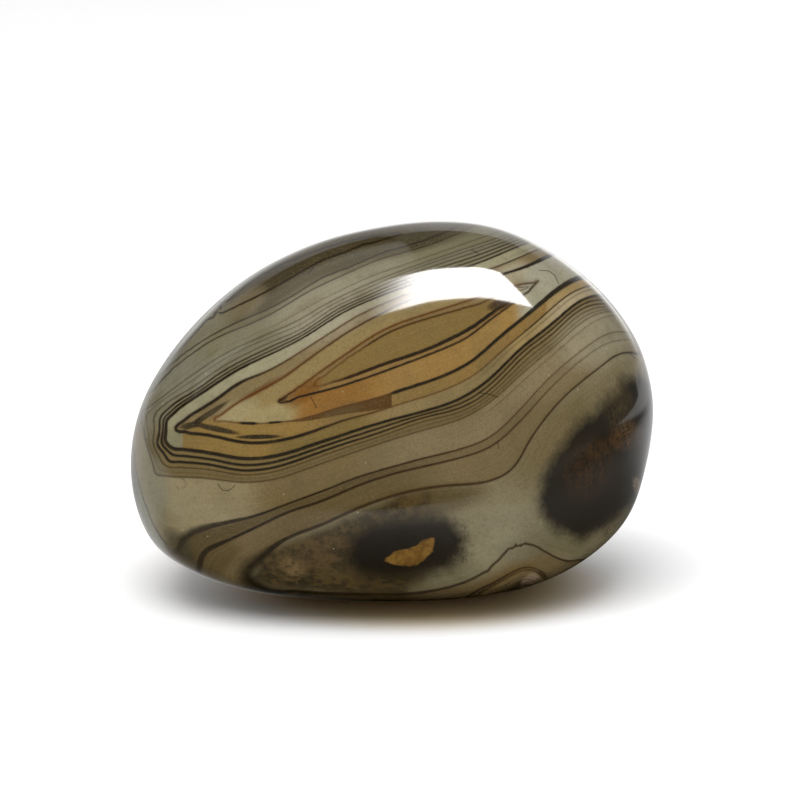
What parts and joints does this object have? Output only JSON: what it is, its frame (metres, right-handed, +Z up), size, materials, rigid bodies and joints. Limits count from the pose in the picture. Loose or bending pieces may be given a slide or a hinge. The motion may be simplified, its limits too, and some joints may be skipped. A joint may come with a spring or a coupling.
{
  "type": "polished banded agate pebble",
  "caption": "Rounded, polished pebble of banded agate with dark mineral blotches, resting on a small flat on its underside.",
  "frame": {"origin": "under the middle of the stone's box, on the surface that it rests on", "axes": "+X along the stone, towards its blunt end; -Y is the front, where the eye-shaped bands show; +Z up"},
  "size_m": [0.0522, 0.0426, 0.0366],
  "materials": {
    "banded_agate": "polished, translucent grey-brown agate with black and brown band lines"
  },
  "bodies": {
    "root": {"agate_pebble": "banded_agate"}
  },
  "joints": []
}
